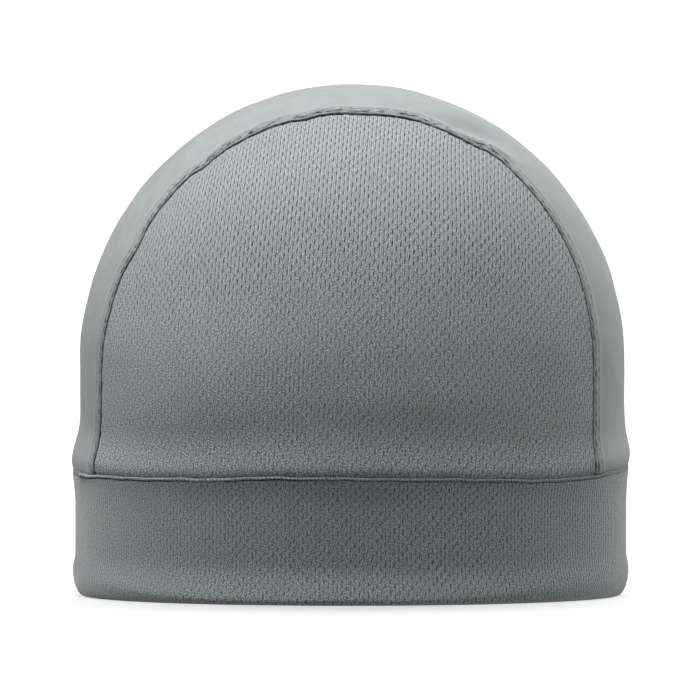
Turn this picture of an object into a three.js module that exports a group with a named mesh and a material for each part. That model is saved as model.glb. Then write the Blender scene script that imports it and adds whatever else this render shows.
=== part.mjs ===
import * as THREE from 'three';
import { mergeVertices } from 'three/addons/utils/BufferGeometryUtils.js';

// A round sport beanie: a crown of three sewn panels on a folded headband.
// Two panels of eyelet mesh cover the sides, and a strip of smooth knit runs from
// the front over the top to the back. Millimetres, +Z up, the wearer's front at +X
// and right side at -Y. The hem stands on z = 0 with its centre at the origin.

// Driving dimensions of the crown
const DOME_LEVEL = 76.7; // where the upright side turns into the dome
const DOME_RADIUS = 88.9; // outside, at that level
const DOME_HEIGHT = 90.0; // from that level to the top
const CROWN_WALL = 1.5; // one layer of knit
const ARCH_AT_BAND = 39.9; // arch seam's distance from the middle plane, at the band
const ARCH_AT_TOP = 40.3; // the same, over the top
const ARCH_LEAN = 1.9; // nearer to that plane above the forehead, farther at the back
const ARCH_LEAN_REACH = 9.0; // how far the mesh beside the seam follows it
const SIDES_LEAN_IN = 2.6; // the empty crown's sides sag towards the head
const LEAN_LEVEL = 92.0; // where they sag most
const LEAN_REACH_DOWN = 27.0;
const LEAN_REACH_UP = 38.0;
const BULGE_AT_SIDES = 0.9; // the crown hangs over the band: by this much at the sides
const BULGE_AT_ENDS = 2.3; // and by this much at the front and back
const BULGE_LEVEL_AT_SIDES = 42.5;
const BULGE_LEVEL_AT_ENDS = 45.2;
const BULGE_REACH_DOWN = 7.5;
const BULGE_REACH_UP = 6.5;

// Driving dimensions of the seams
const SEAM_GAP = 0.3; // left between two sewn pieces
const SAME_POINT = 0.01; // points nearer than this are one
const ALLOWANCE_WIDTH = 5.0; // folded seam allowance under the strip's edge
const ALLOWANCE_HEIGHT = 0.6; // how far it lifts the strip
const ALLOWANCE_RISE = 1.2; // width of the slope on either side of it
const LIP_HEIGHT = 1.2; // the ridge where crown and band are sewn together
const LIP_OUTSIDE = 90.4;
const LIP_DEPTH = 3.2;

// Driving dimensions of the headband
const BAND_TOP = 40.3;
const BAND_INSIDE = 86.4; // inside radius of the doubled cloth
const HEM_OUTSIDE = 90.7; // the fold is fuller than the cloth above it
const HEM_ROUND_WIDE = 3.0; // the fold's outer rounding, a quarter of an ellipse
const HEM_ROUND_TALL = 4.2;
const HEM_ROUND_IN = 0.5;

// Levels of the crown's upright side, from its sewn edge up
const CROWN_SIDE = [BAND_TOP + LIP_HEIGHT + 2 * SEAM_GAP, 43.3, 45.3, 47.5, 50.0, 54.0, 61.0, 69.0];

// The headband's outside radius, from its sewn edge down to the fold
const BAND_SIDE = [
  { z: BAND_TOP, r: 89.9 },
  { z: 36.0, r: 90.25 },
  { z: 26.0, r: 90.15 },
  { z: 16.0, r: 90.15 },
  { z: 10.0, r: 90.35 },
  { z: 7.0, r: 90.55 },
];

// Creases of the strip: a point on it, the way it runs, its reach and its height
const CREASES = [
  { x: 38.6, y: -28.5, z: 152.0, towardX: 0.84, towardY: 0.05, towardZ: -0.54,
    length: 13.0, width: 4.5, height: -1.1 },
  { x: 46.0, y: -33.0, z: 146.0, towardX: 0.82, towardY: 0.30, towardZ: -0.48,
    length: 13.0, width: 3.0, height: 0.9 },
];

// Mesh density
const DOME_ROWS = 20; // from the dome level to the arch's top
const PANEL_COLUMNS = 18; // across a side panel
const STRIP_MIDDLE_COLUMNS = 6; // across the strip, between its seam allowances
const RING_SEGMENTS = 72;
const OUTER_ROUND_STEPS = 4; // of the hem's fold
const FINE_ROUND_STEPS = 2; // of its inner edge and of the seam lip

// Finishes
const MESH_KNIT_COLOUR = 0x7d8282;
const SMOOTH_KNIT_COLOUR = 0xa2a7a8;
const KNIT_ROUGHNESS = 0.85;

const meshKnit = new THREE.MeshStandardMaterial({
  color: MESH_KNIT_COLOUR,
  roughness: KNIT_ROUGHNESS,
  metalness: 0,
});
const smoothKnit = new THREE.MeshStandardMaterial({
  color: SMOOTH_KNIT_COLOUR,
  roughness: KNIT_ROUGHNESS,
  metalness: 0,
});

const smoothStep = THREE.MathUtils.smoothstep;
const lerp = THREE.MathUtils.lerp;

// A bump of height 1 at the middle that fades over the reach.
function bell(value, middle, reach) {
  return Math.exp(-(((value - middle) / reach) ** 2));
}

// The arch seam's distance from the middle plane without its lean, at an angle round
// the Y axis that is 0 at the front and PI at the back.
function evenArch(angle) {
  return lerp(ARCH_AT_BAND, ARCH_AT_TOP, Math.sin(angle));
}

function leaningArch(angle) {
  return evenArch(angle) - ARCH_LEAN * Math.sin(2 * angle);
}

// Levels of the crown from the band up, each with the height and outside radius of its
// horizontal circle and the arch seam's distance from the middle plane. The shift moves
// the seam away from that plane, to leave the gap between the pieces sewn there.
function crownLevels(shift) {
  const levels = CROWN_SIDE.map((z) => ({ z, r: DOME_RADIUS, arch: ARCH_AT_BAND + shift }));
  const squash = DOME_HEIGHT / DOME_RADIUS;
  for (let row = 0; row <= DOME_ROWS; row += 1) {
    const angle = (row / DOME_ROWS) * (Math.PI / 2);
    const arch = evenArch(angle) + shift;
    const seamRadius = Math.sqrt(DOME_RADIUS ** 2 - arch ** 2);
    const z = DOME_LEVEL + squash * seamRadius * Math.sin(angle);
    const r = Math.hypot(seamRadius * Math.cos(angle), arch);
    levels.push({ z, r, arch, angle });
  }
  return levels;
}

// Moves a point of the crown away from the head by the given distance.
function lift(point, distance) {
  const centre = new THREE.Vector3(0, 0, Math.min(point.z, DOME_LEVEL));
  const outwards = point.clone().sub(centre).normalize();
  return point.clone().addScaledVector(outwards, distance);
}

// Height of the broad forms at a point of the plain crown: the bulge over the band is
// added and the sides' sag is taken away, each by how near the point is to the front or
// back end.
function formHeight(point) {
  const end = Math.min(Math.abs(point.x) / DOME_RADIUS, 1) ** 2;
  const bulgeLevel = lerp(BULGE_LEVEL_AT_SIDES, BULGE_LEVEL_AT_ENDS, end);
  const bulgeReach = point.z > bulgeLevel ? BULGE_REACH_UP : BULGE_REACH_DOWN;
  const leanReach = point.z > LEAN_LEVEL ? LEAN_REACH_UP : LEAN_REACH_DOWN;
  const bulge = lerp(BULGE_AT_SIDES, BULGE_AT_ENDS, end) * bell(point.z, bulgeLevel, bulgeReach);
  return bulge - SIDES_LEAN_IN * (1 - end) * bell(point.z, LEAN_LEVEL, leanReach);
}

// Height of the creases at a point: each is a long bump that fades along and across.
function creaseHeight(point) {
  let height = 0;
  for (const crease of CREASES) {
    const offset = point.clone().sub(new THREE.Vector3(crease.x, crease.y, crease.z));
    const way = new THREE.Vector3(crease.towardX, crease.towardY, crease.towardZ).normalize();
    const along = offset.dot(way);
    const across = Math.sqrt(Math.max(offset.lengthSq() - along ** 2, 0));
    height += crease.height * Math.exp(-((along / crease.length) ** 2) - (across / crease.width) ** 2);
  }
  return height;
}

// A closed wall between an outer and an inner sheet, given as grids of points that
// match row by row. Cells that shrink to nothing at a point are left out.
function wallGeometry(outer, inner) {
  const rows = outer.length;
  const columns = outer[0].length;
  const corners = [];
  const triangle = (a, b, c) => {
    const sides = [a.distanceTo(b), b.distanceTo(c), c.distanceTo(a)];
    if (Math.min(...sides) > SAME_POINT) {
      corners.push(a, b, c);
    }
  };
  const cell = (a, b, c, d) => {
    triangle(a, b, c);
    triangle(a, c, d);
  };
  for (let i = 0; i < rows - 1; i += 1) {
    for (let j = 0; j < columns - 1; j += 1) {
      cell(outer[i][j], outer[i][j + 1], outer[i + 1][j + 1], outer[i + 1][j]);
      cell(inner[i][j], inner[i + 1][j], inner[i + 1][j + 1], inner[i][j + 1]);
    }
    cell(outer[i][0], outer[i + 1][0], inner[i + 1][0], inner[i][0]);
    const last = columns - 1;
    cell(outer[i][last], inner[i][last], inner[i + 1][last], outer[i + 1][last]);
  }
  const top = rows - 1;
  for (let j = 0; j < columns - 1; j += 1) {
    cell(outer[0][j], inner[0][j], inner[0][j + 1], outer[0][j + 1]);
    cell(outer[top][j], outer[top][j + 1], inner[top][j + 1], inner[top][j]);
  }
  const merged = mergeVertices(new THREE.BufferGeometry().setFromPoints(corners));
  merged.computeVertexNormals();
  return merged;
}

// Slides a point of a side panel along the crown, so that the panel's edge follows the
// leaning seam. Points farther from the edge move less.
function followSeam(point, side) {
  if (point.z <= DOME_LEVEL) {
    return point;
  }
  const squash = DOME_HEIGHT / DOME_RADIUS;
  const angle = Math.atan2((point.z - DOME_LEVEL) / squash, point.x);
  const fromEdge = Math.max(Math.abs(point.y) - evenArch(angle), 0);
  const shift = (leaningArch(angle) - evenArch(angle)) * Math.exp(-fromEdge / ARCH_LEAN_REACH);
  const y = Math.min(Math.abs(point.y) + shift, DOME_RADIUS);
  const arc = Math.sqrt(DOME_RADIUS ** 2 - y ** 2);
  const z = DOME_LEVEL + squash * arc * Math.sin(angle);
  return new THREE.Vector3(arc * Math.cos(angle), side * y, z);
}

// Side panel: at each level an arc of the crown's circle, from arch seam to arch seam.
// The arcs shrink to a point where the seam passes over the top.
function sidePanelGeometry(side) {
  const plain = crownLevels(SEAM_GAP / 2).map(({ z, r, arch }) => {
    const reach = Math.acos(Math.min(arch / r, 1));
    const row = [];
    for (let j = 0; j <= PANEL_COLUMNS; j += 1) {
      const turn = lerp(-reach, reach, j / PANEL_COLUMNS);
      const point = new THREE.Vector3(r * Math.sin(turn) * -side, side * r * Math.cos(turn), z);
      row.push(followSeam(point, side));
    }
    return row;
  });
  const outer = plain.map((row) => row.map((point) => lift(point, formHeight(point))));
  const inner = plain.map((row) => row.map((point) => lift(point, formHeight(point) - CROWN_WALL)));
  return wallGeometry(outer, inner);
}

// Distances across the strip, measured on the surface from one of its seams: close
// together on the raised allowance and far apart between.
function stripColumns(width) {
  const edge = [0, ALLOWANCE_RISE, ALLOWANCE_WIDTH, ALLOWANCE_WIDTH + ALLOWANCE_RISE];
  const first = edge[edge.length - 1];
  const middle = [];
  for (let j = 1; j <= STRIP_MIDDLE_COLUMNS; j += 1) {
    middle.push(lerp(first, width - first, j / (STRIP_MIDDLE_COLUMNS + 1)));
  }
  const mirrored = edge.map((distance) => width - distance).reverse();
  return [...edge, ...middle, ...mirrored];
}

// How far the folded allowance lifts the strip at a distance from its seam.
function allowanceHeight(distance) {
  const rise = smoothStep(distance, 0, ALLOWANCE_RISE);
  const fall = smoothStep(distance, ALLOWANCE_WIDTH, ALLOWANCE_WIDTH + ALLOWANCE_RISE);
  return ALLOWANCE_HEIGHT * rise * (1 - fall);
}

// A point of the bare dome or side at one station of the strip: on the front or back,
// above the dome level by an angle round the Y axis and below it by a height.
function stripPoint(station, y, front) {
  const arc = Math.sqrt(DOME_RADIUS ** 2 - y ** 2);
  if (station.angle === undefined) {
    return new THREE.Vector3(front * arc, y, station.z);
  }
  const rise = (DOME_HEIGHT / DOME_RADIUS) * arc * Math.sin(station.angle);
  return new THREE.Vector3(front * arc * Math.cos(station.angle), y, DOME_LEVEL + rise);
}

// Centre strip: front edge at the band, up, over the top and down to the back edge.
function centreStripGeometry() {
  const levels = crownLevels(-SEAM_GAP / 2);
  const front = levels.map((station) => ({ station, way: 1 }));
  const back = levels.slice(0, -1).map((station) => ({ station, way: -1 }));
  const outer = [];
  const inner = [];
  for (const { station, way } of [...front, ...back.reverse()]) {
    const angle = station.angle ?? 0;
    const lean = leaningArch(way > 0 ? angle : Math.PI - angle) - evenArch(angle);
    const reach = Math.asin((station.arch + lean) / DOME_RADIUS);
    const width = 2 * reach * DOME_RADIUS;
    const distances = stripColumns(width);
    const plain = distances.map((distance) => {
      return stripPoint(station, DOME_RADIUS * Math.sin(distance / DOME_RADIUS - reach), way);
    });
    const heights = plain.map((point, j) => {
      const raised = allowanceHeight(Math.min(distances[j], width - distances[j]));
      return formHeight(point) + creaseHeight(point) + raised;
    });
    outer.push(plain.map((point, j) => lift(point, heights[j])));
    inner.push(plain.map((point, j) => lift(point, heights[j] - CROWN_WALL)));
  }
  return wallGeometry(outer, inner);
}

// A ring round the Z axis from a closed outline of { r, z } points, listed upwards on
// the outside and downwards on the inside.
function ringGeometry(outline) {
  const profile = outline.map(({ r, z }) => new THREE.Vector2(r, z));
  profile.push(profile[0].clone());
  const ring = new THREE.LatheGeometry(profile, RING_SEGMENTS);
  ring.rotateX(Math.PI / 2);
  return ring;
}

// Points of a rounding about a centre, between two angles in the { r, z } plane. It is
// part of an ellipse where it is taller than wide.
function roundCorner(centre, wide, tall, from, to, steps) {
  const points = [];
  for (let i = 0; i <= steps; i += 1) {
    const angle = lerp(from, to, i / steps);
    points.push({
      r: centre.r + wide * Math.cos(angle),
      z: centre.z + tall * Math.sin(angle),
    });
  }
  return points;
}

// Headband: cloth folded double, its fold standing on the surface as a rounded hem.
function headbandOutline() {
  const down = -Math.PI / 2;
  const innerCentre = { r: BAND_INSIDE + HEM_ROUND_IN, z: HEM_ROUND_IN };
  const outerCentre = { r: HEM_OUTSIDE - HEM_ROUND_WIDE, z: HEM_ROUND_TALL };
  const inside = roundCorner(
    innerCentre, HEM_ROUND_IN, HEM_ROUND_IN, -Math.PI, down, FINE_ROUND_STEPS,
  );
  const outside = roundCorner(
    outerCentre, HEM_ROUND_WIDE, HEM_ROUND_TALL, down, 0, OUTER_ROUND_STEPS,
  );
  const upwards = [...BAND_SIDE].reverse();
  return [...inside, ...outside, ...upwards, { r: BAND_INSIDE, z: BAND_TOP }];
}

// Seam lip: the narrow rounded ridge between the crown and the band.
function lipOutline() {
  const half = LIP_HEIGHT / 2;
  const centre = { r: LIP_OUTSIDE - half, z: BAND_TOP + SEAM_GAP + half };
  const nose = roundCorner(centre, half, half, -Math.PI / 2, Math.PI / 2, 2 * FINE_ROUND_STEPS);
  const inside = LIP_OUTSIDE - LIP_DEPTH;
  return [...nose, { r: inside, z: centre.z + half }, { r: inside, z: centre.z - half }];
}

const beanie = new THREE.Group();

function addPiece(name, geometry, material) {
  const piece = new THREE.Mesh(geometry, material);
  piece.name = name;
  beanie.add(piece);
}

addPiece('side_panel_right', sidePanelGeometry(-1), meshKnit);
addPiece('side_panel_left', sidePanelGeometry(1), meshKnit);
addPiece('centre_panel', centreStripGeometry(), smoothKnit);
addPiece('band_seam_lip', ringGeometry(lipOutline()), meshKnit);
addPiece('headband', ringGeometry(headbandOutline()), meshKnit);

export default beanie;
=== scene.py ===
# %% [markdown]
# A sport beanie, sewn from five pieces of grey polyester knit. Two side panels and a
# folded headband are eyelet mesh, and a smooth strip runs from the front over the top
# to the back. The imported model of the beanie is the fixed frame: every piece here is
# laid over one of its nodes, in metres, with the hem standing on z = 0.

import math

import bmesh
import bpy
import numpy as np
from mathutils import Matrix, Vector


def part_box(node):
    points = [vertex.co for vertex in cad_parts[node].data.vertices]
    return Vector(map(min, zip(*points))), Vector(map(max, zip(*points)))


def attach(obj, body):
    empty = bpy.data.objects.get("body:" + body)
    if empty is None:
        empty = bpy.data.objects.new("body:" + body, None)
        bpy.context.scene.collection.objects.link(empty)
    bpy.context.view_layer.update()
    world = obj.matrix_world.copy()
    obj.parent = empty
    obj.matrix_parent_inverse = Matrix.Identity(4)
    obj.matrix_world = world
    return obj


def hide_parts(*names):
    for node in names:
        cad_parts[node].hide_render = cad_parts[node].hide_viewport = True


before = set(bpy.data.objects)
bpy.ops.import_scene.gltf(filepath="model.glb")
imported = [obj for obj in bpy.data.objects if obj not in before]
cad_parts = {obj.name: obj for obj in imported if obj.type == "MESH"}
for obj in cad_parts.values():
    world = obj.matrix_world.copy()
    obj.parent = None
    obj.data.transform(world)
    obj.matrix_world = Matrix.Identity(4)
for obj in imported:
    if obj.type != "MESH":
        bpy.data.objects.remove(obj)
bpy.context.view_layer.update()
print("frame nodes:", sorted(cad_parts))

# %% [markdown]
# Cloth is easiest to think about in millimetres, and its points become metres when a
# mesh is made. The main sizes come from the frame's boxes, so the cloth follows them.

# %% Sizes of the crown and the band, in millimetres
MM = 0.001


def node_box(name):
    """Lowest and highest corner of a frame node, in millimetres."""
    low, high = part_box(name)
    return np.array(low) / MM, np.array(high) / MM


strip_high = node_box("centre_panel")[1]
lip_low, lip_high = node_box("band_seam_lip")
band_high = node_box("headband")[1]

DOME_LEVEL = 76.7  # where the upright side turns into the dome
DOME_RADIUS = 88.9
DOME_HEIGHT = strip_high[2] - DOME_LEVEL
SQUASH = DOME_HEIGHT / DOME_RADIUS
CROWN_LOW = lip_high[2] + 0.12
SIDE_HEIGHT = DOME_LEVEL - CROWN_LOW
ARCH_LENGTH = 2 * SIDE_HEIGHT + math.pi * DOME_RADIUS
CLOTH = 1.3  # thickness of one layer
ARCH_AT_BAND = 39.9
ARCH_AT_TOP = 40.3
print(f"crown from {CROWN_LOW:.1f} to {strip_high[2]:.1f} mm, arch seam {ARCH_LENGTH:.0f} mm long")

# %% [markdown]
# Sewn cloth is never quite even: a seam wanders by half a millimetre and a band waves
# a little. A few sine waves of different lengths, added together, give such a wander.
# The phases come from a seeded generator, so each run makes the same cap.

# %% Helpers for soft shapes


def together(*parts):
    """Coordinates side by side, one array for each, as an array of points."""
    return np.stack(np.broadcast_arrays(*parts), -1)


def wander(along, lengths, seed):
    """Sum of sine waves of the given lengths with seeded phases, between -1 and 1."""
    phases = np.random.default_rng(seed).uniform(0, 2 * np.pi, len(lengths))
    waves = [np.sin(2 * np.pi * along / length + phase) for length, phase in zip(lengths, phases)]
    return sum(waves) / len(lengths)


def wander_round(turn, waves, seed):
    """A wander with whole numbers of waves in one turn of an angle."""
    return wander(turn, [2 * np.pi / count for count in waves], seed)


def ease(value, start, end):
    """0 before start, 1 after end, and a smooth S between: 3t^2 - 2t^3."""
    t = np.clip((value - start) / (end - start), 0, 1)
    return t * t * (3 - 2 * t)


def bell(value, centre, reach):
    """A bump of height 1 at the centre that falls off over the reach: e^-(d/reach)^2."""
    return np.exp(-(((value - centre) / reach) ** 2))


def through(marks, at):
    """A smooth course through marks (place, value): between two marks it is
    a + (b - a)(3t^2 - 2t^3), so it is level at each mark."""
    places, values = np.array(marks, float).T
    k = np.clip(np.searchsorted(places, at) - 1, 0, len(places) - 2)
    t = np.clip((at - places[k]) / (places[k + 1] - places[k]), 0, 1)
    return values[k] + (values[k + 1] - values[k]) * t * t * (3 - 2 * t)


# %% [markdown]
# The band isn't sewn on in a level line. Measured on the photograph, the seam sags by
# a millimetre or two along the side, and climbs at the front. On the way it also
# wanders by a fraction of a millimetre, as hand-guided stitching does. The cloth above
# and below goes with it, so every piece is moved by the same rule.

# %% The sagging band seam
SEAM_SAG = (
    (-180, 0.2), (-125, -0.2), (-90, -1.0), (-66, -1.6), (-45, -1.8), (-28, -1.6), (-14, -0.9), (0, -1.1),
    (20, -1.5), (45, -2.3), (57, -2.0), (72, -0.6), (90, 0.6), (125, 0.2), (180, 0.2),
)  # degrees from the side towards the front, millimetres
SEAM_WANDER = 0.18
SEAM_WAVES = (49, 30, 19)  # in one turn
BAND_SHIFT = -0.5  # the band sits half a millimetre towards the back


def settled(points):
    """Moves points up or down by the seam's sag, most at the seam itself and not at all
    13 mm away, and by its wander within 5 mm of it. Shifts all below it backwards."""
    x, y, z = points[..., 0], points[..., 1], points[..., 2]
    turn = np.arctan2(x, -y)
    seam_level = (lip_low[2] + lip_high[2]) / 2
    away = np.abs(z - seam_level)
    result = points.copy()
    result[..., 2] += through(SEAM_SAG, np.degrees(turn)) * (1 - ease(away, 1.5, 13.0))
    result[..., 2] += SEAM_WANDER * wander_round(turn, SEAM_WAVES, 51) * (1 - ease(away, 0.8, 5.0))
    result[..., 0] += BAND_SHIFT * (1 - ease(z, seam_level, seam_level + 16.0))
    return result


# %% [markdown]
# The crown is an upright cylinder with a dome on it. A point of it is named by its
# station, the distance travelled along the arch from the front of the band over the
# top to the back, and by y, its distance from the middle plane. This suits the strip,
# whose length runs along the stations, and both arch seams. An empty cap isn't that
# plain: it bulges over the band, its sides lean in and the cloth swells softly. Those
# forms are one height over the plain shape, and each of them is a bell or a slope.

# %% The crown's surface


def dome_angle(station):
    """Angle travelled over the dome: (station - side) / R, from 0 to pi."""
    return np.clip((station - SIDE_HEIGHT) / DOME_RADIUS, 0, np.pi)


def climbed(station):
    """Distance of a station from the nearer end of the arch."""
    return np.minimum(station, ARCH_LENGTH - station)


def crown_point(station, y, height):
    """x = root(R^2 - y^2) cos a and z = level + squash root(R^2 - y^2) sin a, where a is
    the angle travelled over the dome; below the dome z follows the station instead.
    The point is then lifted outwards from the head by height."""
    angle = dome_angle(station)
    reach = np.sqrt(np.maximum(DOME_RADIUS**2 - y**2, 0))
    low = np.minimum(climbed(station) - SIDE_HEIGHT, 0)
    x = reach * np.cos(angle)
    z = DOME_LEVEL + SQUASH * reach * np.sin(angle) + low
    return lifted(together(x, y, z), height)


def lifted(points, height):
    """Each point moved by height away from the dome's centre, or from the axis below it."""
    centre = np.zeros_like(points)
    centre[..., 2] = np.minimum(points[..., 2], DOME_LEVEL)
    outwards = points - centre
    outwards /= np.linalg.norm(outwards, axis=-1, keepdims=True)
    return points + outwards * np.broadcast_to(height, points.shape[:-1])[..., None]


LEAN_IN = 2.4  # how far the empty cap's sides lean in, most at this level
LEAN_LEVEL = 101.0
BULGE_AT_SIDES = 0.72  # how far the crown hangs over the band
BULGE_AT_FRONT = 1.68  # and by how much farther at its ends
BULGE_AT_BACK = 1.58
BULGE_LEVEL = 42.3
BULGE_CLIMB = 2.9  # from the sides to the ends
WAIST = 0.38  # how far the cloth is drawn in above the bulge
WAIST_LEVEL = 55.0
SEAM_LEAN = 1.9  # by how much the strip was sewn on askew
SEAM_KINKS = (
    (10, 0.5, 9), (53, -1.2, 5), (61, 0.8, 4), (74, -0.5, 5), (86, 0.6, 4), (100, 1.0, 2.4),
    (108, -0.3, 4), (126, 1.1, 2.6), (132, -0.4, 3), (152, 1.8, 5.2), (168, 0.3, 6),
)  # degrees over the dome, millimetres outwards, reach in degrees


def even_arch(angle):
    """Distance of an arch seam from the middle plane, if it were sewn on evenly."""
    return ARCH_AT_BAND + (ARCH_AT_TOP - ARCH_AT_BAND) * np.sin(angle)


def arch_place(station, side):
    """The same as it was sewn. The strip leans by a wave of sin 2a, and the hand-guided
    seam has kinks, each one a bell. The hidden seam has the same lean and a wander of
    its own."""
    angle = dome_angle(station)
    place = even_arch(angle) - SEAM_LEAN * np.sin(2 * angle)
    if side > 0:
        return place + 0.5 * wander(station, (23.0, 37.0, 61.0), 8)
    degrees = np.degrees(angle)
    place = place + 0.16 * wander(station, (3.3, 5.2, 8.1), 9) - 2.7 * bell(station, ARCH_LENGTH, 12.5)
    return place + sum(out * bell(degrees, at, reach) for at, out, reach in SEAM_KINKS)


SWELLINGS = (
    (0.65, -50.0, 26.0, 70.0, 10.0), (0.5, -50.0, 26.0, 60.0, 11.0), (0.6, 27.0, 24.0, 102.0, 24.0),
    (1.3, 46.0, 20.0, 122.0, 20.0), (0.5, 24.0, 24.0, 66.0, 10.0),
)  # each: height, then place and reach towards the front, then level and reach upwards


def crown_swell(points):
    """Height of the broad forms over the plain crown: a bulge that hangs over the band,
    a waist and sides that lean in above it, a fuller top, and the soft swellings of an
    empty cap. Each is a bell of the level z. The share of the ends is (x / R)^2."""
    x, z = points[..., 0], points[..., 2]
    end = np.clip(np.abs(x) / DOME_RADIUS, 0, 1) ** 2
    level = BULGE_LEVEL + BULGE_CLIMB * end**4
    left = ease(-x, 5.0, 55.0)
    full = BULGE_AT_SIDES + np.where(x > 0, BULGE_AT_FRONT * end**3, BULGE_AT_BACK * end**5)
    full = full - 0.28 * left * (1 - end)
    bulge = full * bell(z, level, np.where(z > level, 4.9 + 2.0 * end**4, 7.5))
    bulge = bulge - 0.20 * end * (1 - end) * 4 * bell(z, 51.0, 6.0)
    share = 1 - np.where(x < 0, end**1.5, end)
    reach = np.where(z > LEAN_LEVEL, 37.0 + 7.0 * left, 26.0 - 6.0 * left)
    lean = -LEAN_IN * share * bell(z, LEAN_LEVEL, reach)
    lean = lean - WAIST * (1 - end) * bell(z, WAIST_LEVEL - 3.0 * left, 7.0)
    full_top = 0.45 * ease(z, 92.0, 135.0) + np.where(x > 0, 0.25, 0.0) * end * bell(z, 110.0, 30.0)
    full_top = full_top + 0.5 * bell(np.abs(points[..., 1]), 25.0, 11.0) * ease(z, 130.0, 152.0)
    soft = np.zeros_like(x)
    for high, at_x, wide, at_z, tall in SWELLINGS:
        soft += high * bell(x, at_x, wide) * bell(z, at_z, tall)
    return bulge + lean + full_top + soft * (1 - end)


# %% [markdown]
# Every cloth piece is a closed wall: an outer sheet, an inner sheet under it, and rims
# that join their edges. Both sheets are grids of points, so one helper can make any
# of them. A band or a ring is a grid whose last column is its first one again. The
# helper also keeps a second set of coordinates, the weave map, which counts knitted
# columns and rows so that the knit follows the cloth.

# %% Helpers that make a piece of cloth
MERGED = 0.00001  # metres within which the points of a sheet's edges are one
THREAD_MERGED = 0.000002


def placed(name, data):
    """A new object in the scene, which shows a mesh, a camera or a lamp."""
    thing = bpy.data.objects.new(name, data)
    bpy.context.scene.collection.objects.link(thing)
    return thing


def new_piece(name, points, faces, merged, weave=None):
    """A closed mesh object from points in millimetres, which follow the sagging seam,
    and faces of four points. Six times its volume is the sum of (b x c + c x d) . a
    over the faces; where that is negative, they are turned to face outwards."""
    points = settled(points) * MM
    a, b, c, d = (points[faces[:, k]] for k in range(4))
    volume = (np.cross(b, c) * a).sum() + (np.cross(c, d) * a).sum()
    if volume < 0:
        faces = faces[:, ::-1]
    mesh = bpy.data.meshes.new(name)
    mesh.from_pydata(points, [], faces)
    if weave is not None:
        layer = mesh.uv_layers.new(name="weave")
        layer.uv.foreach_set("vector", weave[faces.ravel()].astype(np.float32).ravel())
    sewn = bmesh.new()
    sewn.from_mesh(mesh)
    bmesh.ops.remove_doubles(sewn, verts=sewn.verts, dist=merged)
    sewn.to_mesh(mesh)
    sewn.free()
    mesh.polygons.foreach_set("use_smooth", [True] * len(mesh.polygons))
    print(f"{name}: {len(mesh.polygons)} faces, {abs(volume) / 6 * 1e6:.1f} cubic cm of cloth")
    return placed(name, mesh)


def grid_faces(index):
    """Four corners for each cell of a grid of point numbers."""
    corners = [index[:-1, :-1], index[:-1, 1:], index[1:, 1:], index[1:, :-1]]
    return np.stack(corners, -1).reshape(-1, 4)


def rim_faces(outer_edge, inner_edge):
    """Four corners for each cell between two edges."""
    corners = [outer_edge[1:], outer_edge[:-1], inner_edge[:-1], inner_edge[1:]]
    return np.stack(corners, -1)


def cloth_piece(name, outer, inner, weave, ring=False):
    """A closed wall from its two sheets, which are grids of points in millimetres."""
    index = np.arange(outer[..., 0].size).reshape(outer.shape[:2])
    faces = [grid_faces(index), grid_faces(index + index.size)[:, ::-1]]
    edges = [index[0], index[-1, ::-1]]
    if not ring:
        edges += [index[::-1, 0], index[:, -1]]
    faces += [rim_faces(edge, edge + index.size) for edge in edges]
    points = np.concatenate([outer.reshape(-1, 3), inner.reshape(-1, 3)])
    weave = np.concatenate([weave.reshape(-1, 2)] * 2)
    return new_piece(name, points, np.concatenate(faces), MERGED, weave)


# %% [markdown]
# A side panel is cut like a semicircle and sewn in under the arch seam. It is laid out
# in level rows from the band up. Each row is an arc from seam to seam, and the rows
# shrink to a point under the top of the arch. Columns stand closer together near the
# seam, where the cloth dips into the crease. The lower edge curls in to the band seam.
# Inside, the panel's edge reaches under the strip as a seam allowance does, so no
# light comes through the seam. Only the right panel shows in the photograph, and the
# left one is its mirror image.

# %% The side panels
PANEL_LOW_ROWS = 48
PANEL_DOME_ROWS = 150
PANEL_COLUMNS = 170
SEAM_HALF_GAP = 0.04
ALLOWANCE = 2.2  # by which a panel's edge reaches in under the strip
CURL = 0.95  # how far the crown's lower edge curls in towards the band seam
CURL_REACH = 1.35
CREASE_DEPTH = 0.65  # of the cloth at the arch seam itself
CREASE_REACH = 0.07
COLUMN_SPACING = 1.396  # between neighbouring columns of eyelets
ROW_SPACING = 3.78  # between eyelets of one column


def panel_levels():
    """Height, radius of the level circle and seam distance, for each row. The rows start
    close together at the band; over the dome they follow equal steps along the seam."""
    rise = np.linspace(0, 1, PANEL_LOW_ROWS, endpoint=False)
    low_z = CROWN_LOW + SIDE_HEIGHT * (0.25 * rise + 0.75 * rise**2)
    angle = np.linspace(0, np.pi / 2, PANEL_DOME_ROWS + 1)
    arch = even_arch(angle)
    seam = np.sqrt(DOME_RADIUS**2 - arch**2)
    z = np.concatenate([low_z, DOME_LEVEL + SQUASH * seam * np.sin(angle)])
    radius = np.concatenate([np.full_like(low_z, DOME_RADIUS), np.hypot(seam * np.cos(angle), arch)])
    return z, radius, np.concatenate([np.full_like(low_z, ARCH_AT_BAND), arch])


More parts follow.
